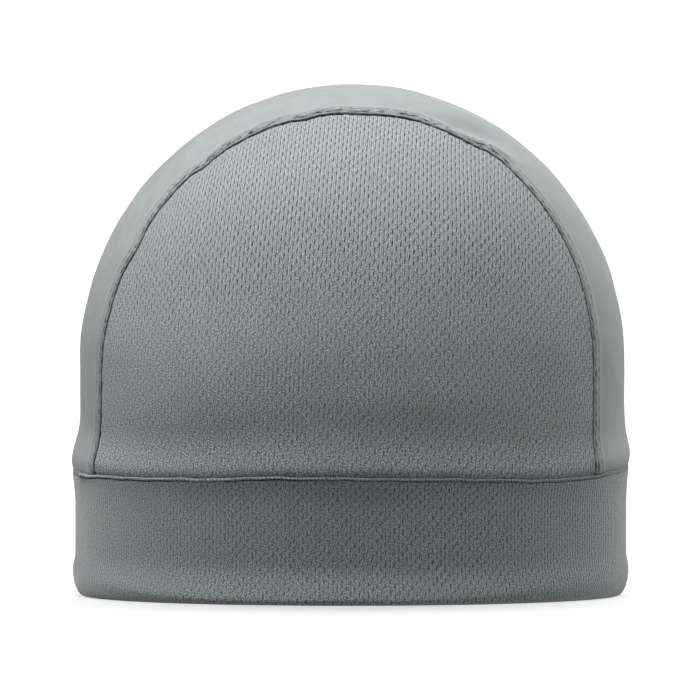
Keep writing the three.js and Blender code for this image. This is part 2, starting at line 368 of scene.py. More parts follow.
def mesh_weave(x, z):
    """Knitted columns and rows at a point of a side panel. Columns are nearly the lines
    where upright planes cut the crown, and lean a little. Rows climb by a slope that
    grows from left to right, so the cloth was cut a little off its straight grain."""
    over = np.maximum(z - DOME_LEVEL, 0)
    spread = 1 + 0.025 * bell(z, 93.0, 28.0) - 0.08 * ease(z, 105.0, 160.0)
    column_x = (x - 0.035 * (z - DOME_LEVEL)) / spread
    across = DOME_RADIUS * np.arcsin(np.clip(column_x / DOME_RADIUS, -1, 1))
    hoop = np.sqrt(np.maximum(DOME_RADIUS**2 - x**2, 1.0))
    climb = hoop * np.arcsin(np.clip(over / SQUASH / hoop, -1, 1)) + np.minimum(z - DOME_LEVEL, 0)
    tilt = 0.10 * across + 0.17 * 33.0 * np.log(np.cosh((across + 14.0) / 33.0))
    return together(across / COLUMN_SPACING, (climb + tilt) / ROW_SPACING)


def side_panel(name, side):
    """A level row is x = r sin t, y = side r cos t, between the seams at |y| = arch. The
    rows then slide along the crown to follow the wandering seam. The sheet is lifted
    by the broad forms, dips beside the arch seam by bells of the distance from it and
    curls in at its lower edge by e^-(climb/reach)."""
    z, radius, arch = (values[:, None] for values in panel_levels())
    reach = np.arccos(np.clip(arch / radius, -1, 1))
    t = np.linspace(-1, 1, PANEL_COLUMNS + 1)[None, :]
    turn = reach * (0.93 * np.sin(np.pi / 2 * t) + 0.07 * t)
    x = radius * np.sin(turn)
    y = radius * np.cos(turn)
    climb = np.broadcast_to(np.maximum(z - DOME_LEVEL, 0) / SQUASH, x.shape)
    angle = np.where(climb > 0, np.arctan2(climb, x), np.where(x > 0, 0, np.pi))
    below = np.minimum(z - DOME_LEVEL, 0)
    station = SIDE_HEIGHT + DOME_RADIUS * angle + np.where(x > 0, below, -below)
    even = even_arch(angle)
    inside = DOME_RADIUS * (np.arcsin(np.minimum(y / DOME_RADIUS, 1)) - np.arcsin(even / DOME_RADIUS))
    shift = (arch_place(station, side) - even) * np.exp(-np.maximum(inside, 0) / 9.0)
    y = np.minimum(y + shift + SEAM_HALF_GAP * np.exp(-inside / 0.5), DOME_RADIUS)
    base = crown_point(station, y * side, 0)
    sharp = 1 - 0.65 * ease(station, 125.0, 50.0)
    depth = (CREASE_DEPTH + 0.35 * wander(station, (4.7, 7.9, 13.1), 19)) * sharp
    soft = 0.14 * sharp * (1 - 0.7 * ease(x, 20.0, 45.0)) * bell(inside, 0, 1.2)
    soft = soft + 0.34 * bell(x, 0.0, 40.0) * bell(inside, 0, 2.8)
    dip = -depth * np.exp(-inside / CREASE_REACH) - soft
    pull = 0.14 * wander(station, (3.1, 5.3, 8.9), 17) * np.exp(-inside / 2.6)
    tuck = -(CURL + 0.10 * wander(x, (2.9, 4.7, 7.7), 15)) * np.exp(-(z - CROWN_LOW) / CURL_REACH)
    waves = 0.10 * wander(x + 0.6 * z, (37.0, 23.0), 3) * ease(inside, 2.0, 12.0) + pull
    outer = lifted(base, crown_swell(base) + np.maximum(dip + tuck + waves, -CLOTH + 0.15))
    under = np.exp(-np.maximum(inside, 0) / 0.6)
    behind = crown_point(station, (y - ALLOWANCE * under) * side, 0)
    inner = lifted(behind, crown_swell(behind) - CLOTH - 0.15 * under)
    return cloth_piece(name, outer, inner, mesh_weave(x, np.broadcast_to(z, x.shape)))


right_panel = side_panel("right_side_panel", -1)
left_panel = side_panel("left_side_panel", 1)

# %% [markdown]
# The centre strip is sewn over the panels' edges. Its seam allowance is folded under
# and stitched down, so the strip stands up in a rounded ridge along both seams, with
# small puckers where the needle pulled. High on the right side, towards the front, it
# has a long shallow hollow with a soft fold below it.

# %% The centre strip
STRIP_ROWS = 700
EDGE_DISTANCES = np.array([
    0.0, 0.03, 0.09, 0.18, 0.30, 0.45, 0.7, 1.0, 1.3, 1.6, 1.95, 2.3, 2.65, 3.0, 3.3, 3.6, 3.9, 4.2, 4.6,
    5.0, 5.5, 6.1, 7.0, 8.0,
])
MIDDLE_COLUMNS = 18
FOLD_RADIUS = 0.22  # of the strip's turned-under edge
EDGE_HEIGHT = 0.32  # of that edge over the crown
STITCH_PITCH = 3.2
STITCH_ROWS = (1.3, 3.6)  # distances of the two stitch rows from the seam
CREASES = (
    {"x": 42.0, "y": -27.5, "z": 150.7, "way": (0.85, 0.46, -0.26), "long": 11.0, "wide": 4.6, "high": -2.2},
    {"x": 47.0, "y": -34.2, "z": 145.3, "way": (0.85, 0.35, -0.39), "long": 14.0, "wide": 2.0, "high": 0.8},
)


def seam_reach(station, side):
    """Angle across the crown from the middle plane to an edge of the strip."""
    return np.arcsin((arch_place(station, side) - SEAM_HALF_GAP) / DOME_RADIUS)


def crease_height(points):
    """Each crease is a bump e^-(along/long)^2 e^-(across/wide)^2 about its own line."""
    total = np.zeros(points.shape[:-1])
    for crease in CREASES:
        way = np.array(crease["way"]) / np.linalg.norm(crease["way"])
        offset = points - np.array([crease["x"], crease["y"], crease["z"]])
        along = offset @ way
        across = np.sqrt(np.maximum((offset**2).sum(-1) - along**2, 0))
        total += crease["high"] * bell(along, 0, crease["long"]) * bell(across, 0, crease["wide"])
    return total


def allowance_height(distance, station):
    """Height of the folded edge over the crown, by distance from the seam: a quarter
    round at the fold, a flat top that sinks along the stitch rows, and a soft step
    where the allowance under it ends."""
    fold = np.sqrt(np.clip(1 - (1 - np.clip(distance / FOLD_RADIUS, 0, 1)) ** 2, 0, 1))
    edge = -0.85 + (0.85 + EDGE_HEIGHT) * fold
    fall = 1 - ease(distance, 4.2, 6.4)
    grooves = sum(bell(distance, row, 0.50) for row in STITCH_ROWS)
    slant = station + 0.9 * distance + 0.5 * wander(station, (13.0, 29.0), 41)
    pucker = 0.5 + 0.5 * np.cos(2 * np.pi * slant / STITCH_PITCH)
    creased = 0.14 * wander(station + 2.2 * distance, (2.3, 3.7, 5.9), 43) * bell(distance, 2.4, 1.9)
    sunk = grooves * (0.12 + 0.20 * pucker) * ease(distance, 0.2, 0.6)
    return np.where(distance < FOLD_RADIUS, edge, EDGE_HEIGHT) * fall - sunk + creased


def strip_sheets(station, y, distance):
    """Outer and inner surface of the strip, for a station, y and distance from a seam."""
    base = crown_point(station, y, 0)
    form = crown_swell(base) + crease_height(base)
    tuck = -0.3 * CURL * np.exp(-climbed(station) / CURL_REACH)
    waves = 0.16 * wander(station + 0.8 * y, (47.0, 29.0, 18.0), 5) * ease(distance, 1.0, 10.0)
    height = np.maximum(allowance_height(distance, station) + waves + tuck, -CLOTH + 0.15)
    return lifted(base, form + height), lifted(base, form - CLOTH)


def centre_strip(name):
    """Rows follow the stations. Across a row, the columns are set by their distance from
    the seams on the surface: y = R sin(distance / R - reach)."""
    steps = np.linspace(0, 1, STRIP_ROWS + 1)
    station = (ARCH_LENGTH * steps)[:, None]
    right = seam_reach(station, -1)
    width = (seam_reach(station, 1) + right) * DOME_RADIUS
    last = EDGE_DISTANCES[-1]
    share = np.linspace(0, 1, MIDDLE_COLUMNS + 2)[None, 1:-1]
    middle = last + (width - 2 * last) * share
    edge = np.broadcast_to(EDGE_DISTANCES, (len(steps), len(EDGE_DISTANCES)))
    distance = np.concatenate([edge, middle, width - edge[:, ::-1]], 1)
    y = DOME_RADIUS * np.sin(distance / DOME_RADIUS - right)
    station = np.broadcast_to(station, y.shape)
    nearer = np.minimum(distance, width - distance)
    outer, inner = strip_sheets(station, y, nearer)
    return cloth_piece(name, outer, inner, together(nearer, station))


strip = centre_strip("centre_strip")

# %% [markdown]
# The stitches are separate short threads: each lies on the ridge and dives into the
# cloth at both ends. One small tube is worked out for all stitches at once, as an
# array with an axis for the stitches, one along the thread and one round it.

# %% Stitches along the arch seams
THREAD = 0.17  # radius of the sewing thread
STITCH_LENGTH = 2.7
STITCH_SLANT = 0.55  # by how much a stitch's ends differ in distance from the seam
STITCH_RINGS = 7
STITCH_SIDES = 6


def thread_mesh(name, centres, round_a, round_b, radius):
    """Tubes: centre + radius (cos a round_a + sin a round_b), closed to a point at both
    ends because the radius falls to nothing there."""
    turns = np.arange(STITCH_SIDES) / STITCH_SIDES * 2 * np.pi
    ring = np.cos(turns)[:, None] * round_a[..., None, :] + np.sin(turns)[:, None] * round_b[..., None, :]
    points = centres[..., None, :] + radius[..., None, None] * ring
    index = np.arange(points[..., 0].size).reshape(points.shape[:-1])
    around = np.roll(index, -1, 2)
    faces = np.stack([index[:, :-1], around[:, :-1], around[:, 1:], index[:, 1:]], -1).reshape(-1, 4)
    print(f"{name}: {len(points)} stitches")
    return new_piece(name, points.reshape(-1, 3), faces, THREAD_MERGED)


def arch_stitches(name, side):
    """A stitch every pitch along both rows. Its thread bows up by a half sine and its
    ends lie under the cloth."""
    starts = np.arange(2.0, ARCH_LENGTH - 2.0, STITCH_PITCH)
    rows = np.array(STITCH_ROWS)
    jitter = np.random.default_rng(11 if side < 0 else 12).normal(0, 0.10, (len(rows), len(starts)))
    t = np.linspace(-1, 1, STITCH_RINGS)
    centre = starts + STITCH_PITCH / 2
    station = (centre[None, :, None] + 0.5 * STITCH_LENGTH * t[None, None, :]).repeat(len(rows), 0)
    distance = rows[:, None, None] + jitter[:, :, None] + 0.5 * STITCH_SLANT * t[None, None, :]
    distance = np.broadcast_to(distance, station.shape)

    def surface(at, off):
        y = side * DOME_RADIUS * np.sin(seam_reach(at, side) - off / DOME_RADIUS)
        return strip_sheets(at, y, off)[0]

    middle = surface(station, distance)
    ahead = surface(station + 0.2, distance) - middle
    beside = surface(station, distance + 0.2) - middle
    normal = np.cross(ahead, beside)
    normal /= np.linalg.norm(normal, axis=-1, keepdims=True)
    normal *= np.sign((normal * (middle - [0, 0, DOME_LEVEL])).sum(-1, keepdims=True))
    beside /= np.linalg.norm(beside, axis=-1, keepdims=True)
    bow = np.cos(np.pi / 2 * t) * 0.34 - 0.27
    middle = middle + normal * bow[None, None, :, None]
    radius = np.broadcast_to(THREAD * np.sqrt(np.clip(1 - t**4, 0, 1)), station.shape)
    shape = (-1, STITCH_RINGS, 3)
    return thread_mesh(name, middle.reshape(shape), beside.reshape(shape), normal.reshape(shape),
                       radius.reshape(-1, STITCH_RINGS))


right_stitches = arch_stitches("right_arch_stitches", -1)
left_stitches = arch_stitches("left_arch_stitches", 1)

# %% [markdown]
# The headband is one length of mesh knit folded double, with the fold as its hem. Its
# cross-section is a narrow U of cloth: up the inside, round the fold and up the
# outside. At the sides the fold is tight and the cloth flares out to it; at the front
# and back it is fuller and rounder, so two outlines are blended by the azimuth. The
# same number of points along both faces of the cloth lets the closed wall be made
# like any other piece, as a ring.

# %% The headband
BAND_COLUMNS = 420
BAND_ROWS = 34  # of points up one face of the cloth
FOLD_ROWS = 14
BAND_INSIDE = 86.4
INNER_ROUND = 0.6  # radius of the hem's inner edge
BETWEEN_LOW = 2.0  # level of the space between the layers, where its bottom starts
BETWEEN_DIP = 0.6  # how far its round bottom goes below that
HEM_AT_SIDES = {"wide": 2.0, "tall": 1.6, "flare": 2.8, "flare_low": -1.5, "flare_top": 12.5, "hang": 1.6,
                "lip": 0.35}
HEM_AT_ENDS = {"wide": 3.75, "tall": 9.0, "flare": 0.75, "flare_low": 9.0, "flare_top": 14.0, "hang": 0.6,
               "lip": -0.1}
BAND_EYELETS = 404  # columns of eyelets round the band, an even number
BAND_ROW_SPACING = 3.55
BAND_TWIST = 14  # rows by which the knit climbs in one turn
LEAN_OUT = 0.75  # of the upright cloth at the seam
LEAN_FROM = 29.0
LIP_FROM = 34.0


def round_axis(r, turn, z):
    """Points at x = r sin a, y = -r cos a: the turn a starts at the wearer's right side
    and goes towards the front."""
    return together(r * np.sin(turn), -r * np.cos(turn), z)


def band_outline(hem):
    """Points (r, z) of the cloth's outer face and of its inner face, which lies between
    the layers. Both run down the inside, round the hem and up the outside. The upright
    cloth stands inside the band's radius by hang, flares out towards the hem by an S
    curve, and leans out towards the seam by a square, with a lip at its very top."""
    top = band_high[2] + 0.2
    tall = hem["tall"]
    up = np.append(np.linspace(0, 0.998, BAND_ROWS - 1), 1)
    z_up = tall + (top - tall) * up
    hang = band_high[0] - hem["hang"]
    flare = hem["flare"] * (1 - ease(z_up, hem["flare_low"], hem["flare_top"]))
    lean = LEAN_OUT * np.clip((z_up - LEAN_FROM) / (top - LEAN_FROM), 0, 1) ** 2
    lean = lean + hem["lip"] * np.clip((z_up - LIP_FROM) / (top - LIP_FROM), 0, 1) ** 2
    outside = together(hang + flare + lean, z_up)
    fold = np.linspace(0, np.pi / 2, FOLD_ROWS + 1)[:-1]
    corner_r = outside[0, 0] - hem["wide"] * (1 - np.sin(fold))
    outer_corner = together(corner_r, tall * (1 - np.cos(fold)))
    inner_corner = INNER_ROUND * (1 - together(np.cos(fold), np.sin(fold))) + (BAND_INSIDE, 0)
    z_down = INNER_ROUND + (top - INNER_ROUND) * up[::-1]
    inside = together(BAND_INSIDE, z_down)
    outer = np.concatenate([inside, inner_corner[1:], outer_corner, outside])
    gap = BAND_INSIDE + CLOTH + 0.1
    between_up = together(outside[:, 0] - CLOTH, np.maximum(z_up, BETWEEN_LOW))
    between_down = together(gap, np.maximum(z_down, BETWEEN_LOW))
    turn = np.linspace(0, np.pi, 2 * FOLD_ROWS - 1)
    width = (between_up[0, 0] - gap) / 2
    level = BETWEEN_LOW + (between_up[0, 1] - BETWEEN_LOW) * turn / np.pi
    fold_in = together(gap + width - width * np.cos(turn), level - BETWEEN_DIP * np.sin(turn))
    return outer, np.concatenate([between_down, fold_in, between_up])


def climb_of(line):
    """Way along an outline, from the standing edge up the outside; less than 0 inside."""
    way = np.append(0, np.cumsum(np.linalg.norm(np.diff(line, axis=0), axis=1)))
    return way - way[BAND_ROWS + FOLD_ROWS - 1]


def headband(name):
    """The outline swept round the z axis. The outline of the ends counts by |sin a|^4 at
    the back and |sin a|^3 at the front. Slow waves move the upright cloth in and out,
    and leave the standing edge flat."""
    side_lines, end_lines = band_outline(HEM_AT_SIDES), band_outline(HEM_AT_ENDS)
    turn = np.linspace(-np.pi, np.pi, BAND_COLUMNS + 1)
    end = np.abs(np.sin(turn)) ** np.where(turn > 0, 3, 4)

    def swept(side_line, end_line):
        line = side_line[:, None] + (end_line - side_line)[:, None] * end[None, :, None]
        r, z = line[..., 0], line[..., 1]
        wave = 0.22 * wander_round(turn, (5, 8, 13), 21) * ease(z, 2.0, 14.0)
        wave = wave * (1 - ease(z, 32.0, 39.0))
        return round_axis(r + wave, turn, z)

    rise_sides, rise_ends = (climb_of(lines[0])[:, None] for lines in (side_lines, end_lines))
    rise = rise_sides + (rise_ends - rise_sides) * end
    columns = turn / (2 * np.pi) * BAND_EYELETS
    rows = rise / BAND_ROW_SPACING + turn / (2 * np.pi) * BAND_TWIST
    outer, inner = (swept(side, end_line) for side, end_line in zip(side_lines, end_lines))
    return cloth_piece(name, outer, inner, together(columns, rows), ring=True)


band = headband("folded_headband")

# %% [markdown]
# Where crown and band are sewn together, the edges roll into a thin ridge that stands
# out and catches the light. It is a rounded bead on a short web, and turns like a
# rope. It stands out most along the back half of the side panels, is pinched to a tip
# beside the strip's back end, and is pressed flat across both ends of the strip.

# %% The band seam ridge
RIDGE_COLUMNS = 2400
RIDGE_SIDES = 10
RIDGE_TURNS = 430  # of the rolled edge in one lap, one every 1.3 mm or so
RIDGE_DEPTH = 2.2  # of its web, inwards from the root
RIDGE_STANDS = 0.32  # how far it stands out from the root
RIDGE_STANDS_BEHIND = 0.40  # more, over the back half
RIDGE_TIP = 0.45  # more, where it is pinched to a tip
NOTCH_SLANT = 1.2  # by which the notch leads, for each unit of the angle round the edge


def seam_ridge(name):
    """A D-shaped section r = root + stand cos a, z = middle + half sin a, swept round
    the axis. How far it stands out depends on x, its height wanders, and a notch
    (0.5 + 0.5 cos(twist + slant a))^3 winds round it, once a turn of the rolled edge."""
    turn = np.linspace(-np.pi, np.pi, RIDGE_COLUMNS + 1)
    x_share = np.sin(turn)
    stand = RIDGE_STANDS + RIDGE_STANDS_BEHIND * (1 - ease(x_share, -0.3, 0.1))
    stand = stand * ease(x_share, -0.975, -0.945) * (1 - 0.7 * ease(x_share, 0.88, 1.0))
    stand = stand + RIDGE_TIP * bell(x_share, -0.945, 0.016)
    stand = stand + 0.16 * (1 - x_share**6) * wander_round(turn, (103, 190, 333, 560), 31)
    pressed = ease(-x_share, 0.950, 0.972) + ease(x_share, 0.90, 0.97)
    stand = stand * (1 - 0.6 * pressed)
    twist = RIDGE_TURNS * turn + 0.8 * wander_round(turn, (29, 71), 37)
    top = CROWN_LOW - 0.10 + 0.35 * pressed
    bottom = band_high[2] + 0.24 + 0.05 * wander_round(turn, (57, 140, 260), 35) - 0.35 * pressed
    bottom = bottom - 0.30 * bell(x_share, -0.47, 0.13)
    half = (top - bottom) / 2
    middle = top - half
    root = band_high[0] - 0.95 + 0.95 * x_share**6
    angle = np.linspace(-np.pi / 2, np.pi / 2, RIDGE_SIDES)[:, None]
    notch = (0.5 + 0.5 * np.cos(twist + NOTCH_SLANT * angle)) ** 3
    r = root + stand * (1 - 0.55 * notch) * np.cos(angle)
    z = middle + half * (1 - 0.25 * notch) * np.sin(angle)
    outer = round_axis(r, turn, z)
    inner = round_axis(root - RIDGE_DEPTH, turn, z)
    return cloth_piece(name, outer, inner, together(twist / (2 * np.pi), angle), ring=True)


ridge = seam_ridge("band_seam_ridge")

# %% [markdown]
# Blender draws a finish by a tree of nodes, and a long formula makes it hard to
# follow. So the number that a node gives is wrapped here as a tone. Adding or
# multiplying tones adds the Math nodes that do so, and each knit can be written down
# as a formula of its weave map.

# %% Colours, nodes and tones
YARN = "#adb4b5"
# A dark colour for painted shade: in the mesh's slits, and in the jersey's drawn lines and seam crease.
PAINTED_SHADE = "#2a2e2f"
WHITE = (1.0, 1.0, 1.0, 1.0)


def linear(hex_colour, alpha=1.0):
    """Linear colour of an sRGB hex value: ((c + 0.055) / 1.055)^2.4 for each channel."""
    channels = [int(hex_colour[k:k + 2], 16) / 255 for k in (1, 3, 5)]
    return (*[((c + 0.055) / 1.055) ** 2.4 if c > 0.04045 else c / 12.92 for c in channels], alpha)


def feed(node, inputs):
    """Gives a node's inputs, by name or number, a value or the tone that they follow."""
    for where, value in inputs.items():
        value = getattr(value, "socket", value)
        if isinstance(value, bpy.types.NodeSocket):
            node.id_data.links.new(value, node.inputs[where])
        else:
            node.inputs[where].default_value = value


def add(tree, kind, inputs, **properties):
    """Adds a shader node of a kind, such as Math or Bump, and feeds its inputs."""
    node = tree.nodes.new("ShaderNode" + kind)
    for key, value in properties.items():
        setattr(node, key, value)
    feed(node, inputs)
    return node


def maths(operation, *inputs):
    """The tone that a Math node makes of tones and numbers."""
    tree = next(value.tree for value in inputs if isinstance(value, Tone))
    return Tone(add(tree, "Math", dict(enumerate(inputs)), operation=operation).outputs[0])


class Tone:
    """A number that varies over the cloth, as the output of a node gives it."""

    def __init__(self, socket):
        self.socket = socket
        self.tree = socket.id_data

    def __add__(self, other):
        return maths("ADD", self, other)

    def __sub__(self, other):
        return maths("SUBTRACT", self, other)

    def __rsub__(self, other):
        return maths("SUBTRACT", other, self)

    def __mul__(self, other):
        return maths("MULTIPLY", self, other)

    def __truediv__(self, other):
        return maths("DIVIDE", self, other)


# %% Helpers for patterns


def ramp(value, start, end, low=0.0, high=1.0, curve="LINEAR"):
    """Low where the tone is at start, high where it is at end, and straight between."""
    marks = {"Value": value, 1: start, 2: end, 3: low, 4: high}
    return Tone(add(value.tree, "MapRange", marks, interpolation_type=curve).outputs[0])


def smooth_ramp(value, *marks):
    """A ramp whose middle is an S, 3t^2 - 2t^3."""
    return ramp(value, *marks, curve="SMOOTHSTEP")


def axes(place):
    """The x, y and z of a place, as tones."""
    return [Tone(socket) for socket in add(place.id_data, "SeparateXYZ", {0: place}).outputs]


def weave_map(tree):
    """Place in the weave map, which counts the knit's columns and rows."""
    return add(tree, "UVMap", {}, uv_map="weave").outputs[0]


def on_piece(tree):
    """Place in metres, x towards the front and z up."""
    return add(tree, "TexCoord", {}).outputs["Object"]


def scaled(place, x, y):
    """A place with its x and y multiplied."""
    return add(place.id_data, "VectorMath", {0: place, 1: (x, y, 1.0)}, operation="MULTIPLY").outputs[0]


def noise(place, scale, detail, rough=0.5, dimensions="2D"):
    """Smooth noise about 0.5, with specks as far apart as 1 / scale."""
    inputs = {"Vector": place, "Scale": scale, "Detail": detail, "Roughness": rough}
    return Tone(add(place.id_data, "TexNoise", inputs, noise_dimensions=dimensions).outputs[0])


def dyed(tone, hex_colour):
    """The colour multiplied by a tone."""
    inputs = {0: 1.0, 6: linear(hex_colour), 7: tone}
    return add(tone.tree, "Mix", inputs, data_type="RGBA", blend_type="MULTIPLY").outputs[2]


def blended(share, colour, other):
    """The colour where the share is 0, and the other one where it is 1."""
    return add(share.tree, "Mix", {0: share, 6: colour, 7: other}, data_type="RGBA").outputs[2]


# %% [markdown]
# All cloth here is one grey polyester yarn, dyed in one bath. What differs is how it
# is knitted, and some finishes are given a darker colour. Each finish starts from that
# yarn: a matt fibre with a soft sheen and the refraction of polyester, 1.54.

# %% The yarn
POLYESTER_IOR = 1.54


def new_finish(name, rough, sheen):
    """A material with the yarn's shader, and the node tree that it is drawn in."""
    finish = bpy.data.materials.new(name)
    finish.use_nodes = True
    shader = finish.node_tree.nodes["Principled BSDF"]
    feed(shader, {"IOR": POLYESTER_IOR, "Roughness": rough, "Specular IOR Level": 0.25,
                  "Sheen Weight": sheen, "Sheen Roughness": 0.30})
    print("finish:", name)
    return finish, finish.node_tree, shader


# %% [markdown]
# Eyelet mesh is a knit with a small upright slit at every second stitch, staggered
# from column to column. The weave map counts columns and half-shifted rows, so a
# slit is an ellipse about the middle of each cell, nudged and sized a little at
# random. Each slit is sunk in the relief and painted nearly black, as painted shade
# for the dark seen through it. Over the top the knit is stretched: its columns show
# as grooves with two rows of loops between them, and the yarn is drawn into upright
# streaks. The grooves are painted darker as shade and the loops lighter as painted
# light. Lower down it closes, at the back later than at the front, and a grain of
# single stitches covers all but the slits. The grain is drawn a little coarser than
# the yarn, or a picture couldn't show it.

# %% Eyelet mesh
SLIT_HALF_WIDTH = 0.20
SLIT_HALF_HEIGHT = 1.05
SLIT_SLANT = 0.10  # sideways for each step up
GRAIN = 0.38  # distance between specks in millimetres
OPEN_ABOVE = 0.142  # metres above the hem where the knit is fully stretched
CLOSED_BELOW = 0.085
OPENER_IN_FRONT = 0.32  # by how much more the slits stand open towards the front
STREAK_SQUEEZE = 0.28  # upright streaks are specks, stretched by the inverse


def eyelet_mesh(name, hex_colour, row_spacing, openness, sheen):
    """Finish for mesh knit whose weave map counts eyelet columns and rows. Openness is
    how far the slits stand open where the knit isn't stretched, from 0 to 1, and drawn
    is how far it is stretched. The tone is 1 + force (noise - 0.5), with cosines of the
    column count for the painted shade in the grooves and the painted light on the loops.
    The slits are painted with the colour for painted shade."""
    finish, tree, shader = new_finish(name, 0.82, sheen)
    weave = weave_map(tree)
    u, v = axes(weave)[:2]
    column = maths("FLOOR", u)
    shifted = maths("FLOORED_MODULO", column, 2.0) * 0.5 + v
    cell = add(tree, "CombineXYZ", {0: column, 1: maths("FLOOR", shifted)}).outputs[0]
    chance = add(tree, "TexWhiteNoise", {"Vector": cell}, noise_dimensions="2D").outputs["Color"]
    nudge = [Tone(socket) for socket in add(tree, "SeparateColor", {0: chance}).outputs]
    x = (maths("FRACT", u) + nudge[0] * 0.12 - 0.56) * COLUMN_SPACING
    y = (maths("FRACT", shifted) + nudge[1] * 0.10 - 0.55) * row_spacing
    x = (x - y * SLIT_SLANT) / SLIT_HALF_WIDTH
    y = y / SLIT_HALF_HEIGHT
    slit = smooth_ramp(maths("SQRT", x * x + y * y), 1.3, 0.55)
    forwards, _, height = axes(on_piece(tree))
    behind = maths("MINIMUM", forwards + 0.01, 0.0)
    drawn = smooth_ramp(height - behind * 0.28, CLOSED_BELOW, OPEN_ABOVE)
    half_drawn = drawn * (1.0 - drawn) * 4.0
    rest = ramp(forwards, -0.02, 0.06, openness, openness + OPENER_IN_FRONT)
    open_by = (1.0 - rest) * drawn + rest + half_drawn * 0.25
    slit = slit * (nudge[2] * 0.36 + 0.62) * open_by
    groove = maths("COSINE", u * (2 * math.pi))
    loops = maths("COSINE", u * (4 * math.pi))
    flat = scaled(weave, COLUMN_SPACING, row_spacing)
    specks = noise(flat, 1 / GRAIN, 1.0, 0.9) - 0.5
    streaks = noise(scaled(flat, 1.0, STREAK_SQUEEZE), 1 / GRAIN, 1.0, 0.6) - 0.5
    force = half_drawn * 0.9 + 4.6 - drawn * 2.6
    # Painted shade darkens the grooves, and painted light brightens the loops.
    tone = specks * force + (streaks + groove * 0.07 - loops * 0.22) * drawn + 1.0
    # Each slit is painted nearly black, as painted shade seen through it.
    colour = blended(slit * 0.95, dyed(tone, hex_colour), linear(PAINTED_SHADE))
    relief = specks - slit * 1.6 + groove * 0.25
    bump = add(tree, "Bump", {"Height": relief, "Strength": 0.6, "Distance": 0.00025}).outputs[0]
    feed(shader, {"Base Color": colour, "Normal": bump})
    return finish


crown_mesh = eyelet_mesh("eyelet_mesh_knit", YARN, ROW_SPACING, 0.6, 0.18)
# The band's mesh is given a darker colour than the crown's.
band_mesh = eyelet_mesh("eyelet_mesh_knit_folded", "#969e9f", BAND_ROW_SPACING, 0.75, 0.9)

# %% [markdown]
# The strip is plain jersey: rows of small interlocking loops, too fine to count from a
# metre away. What the eye gets is a smooth cloth with a faint mottle and hair-thin
# ribs along its length. Beside the seams the stitching draws it up into thin, broken
# grooves, which reach furthest over the top of the cap. They are sunk in the relief
# and painted with thin dark lines of shade, and the crease at the seam is painted
# with shade too.

# %% Plain jersey
JERSEY_GAUGE = 0.62  # width of a loop, drawn a little coarser than the real one
JERSEY_ROWS = 0.558  # its height
RIB_HEIGHT = 0.3  # as a share of the grain's
DRAWN_APART = 0.9  # millimetres between drawn-up lines
DRAWN_LONG = 6.0
DRAWN_SLANT = 0.18


def shade_of_drawn_threads(across, along, seed):
    """Painted shade in thin lines where the cloth is drawn up into grooves beside a seam:
    the contour lines of a noise that is stretched along the seam, slanted, and broken up
    by a second noise. The crease at the seam itself gets painted shade too."""
    slanted = across + along * DRAWN_SLANT
    inputs = {0: slanted / DRAWN_APART, 1: along / DRAWN_LONG, 2: seed}
    place = add(across.tree, "CombineXYZ", inputs).outputs[0]
    waves = noise(place, 1.0, 1.0, dimensions="3D")
    line = smooth_ramp(maths("ABSOLUTE", waves - 0.5), 0.03, 0.13, 1.0, 0.0)
    broken = ramp(noise(place, 1.7, 0.0, dimensions="3D"), 0.34, 0.52)
    off_top = maths("ABSOLUTE", axes(on_piece(across.tree))[0] + 0.006)
    reach = ramp(off_top, 0.030, 0.060, 4.8, 2.2)
    near = smooth_ramp(across, 1.4, reach, 1.0, 0.0) * ramp(across, 0.25, 0.5)
    # Painted shade in the crease at the seam itself.
    edge = ramp(across, 0.02, 0.20, 0.9, 0.0) * (broken * 0.6 + 0.4)
    return line * broken * near + edge


def plain_jersey(name, hex_colour):
    """Finish for smooth knit whose weave map is in millimetres: distance from the seam and
    place along it. The relief is cos across cos along for the loops, plus the grain."""
    finish, tree, shader = new_finish(name, 0.78, 0.27)
    weave = weave_map(tree)
    across, along = axes(weave)[:2]
    ribs = maths("COSINE", across * (2 * math.pi / JERSEY_GAUGE))
    rows = maths("COSINE", along * (2 * math.pi / JERSEY_ROWS))
    grain = noise(weave, 1.6, 2.0, 0.6)
    mottle = noise(weave, 0.16, 2.0)
    shaded = dyed((grain + mottle) * 0.16 + 0.84, hex_colour)
    # The drawn grooves are sunk in the relief and painted with shade, as is the seam's crease.
    lines = shade_of_drawn_threads(across, along, 3.0)
    relief = ribs * rows * RIB_HEIGHT + grain - lines * 2.0
    bump = add(tree, "Bump", {"Height": relief, "Strength": 0.35, "Distance": 0.0001}).outputs[0]
    feed(shader, {"Base Color": blended(lines, shaded, linear(PAINTED_SHADE)), "Normal": bump})
    return finish


jersey = plain_jersey("plain_jersey_knit", "#aeb5b5")

# %% [markdown]
# The rolled seam edge shows the cut side of the knit, so it is speckled with loops. It
# is painted darker than the cloth as shade, with more painted shade in its winding
# notch and most on its underside. Its weave map counts turns and holds the angle
# round it, which is all that the winding notch needs.

# %% Rolled seam edge


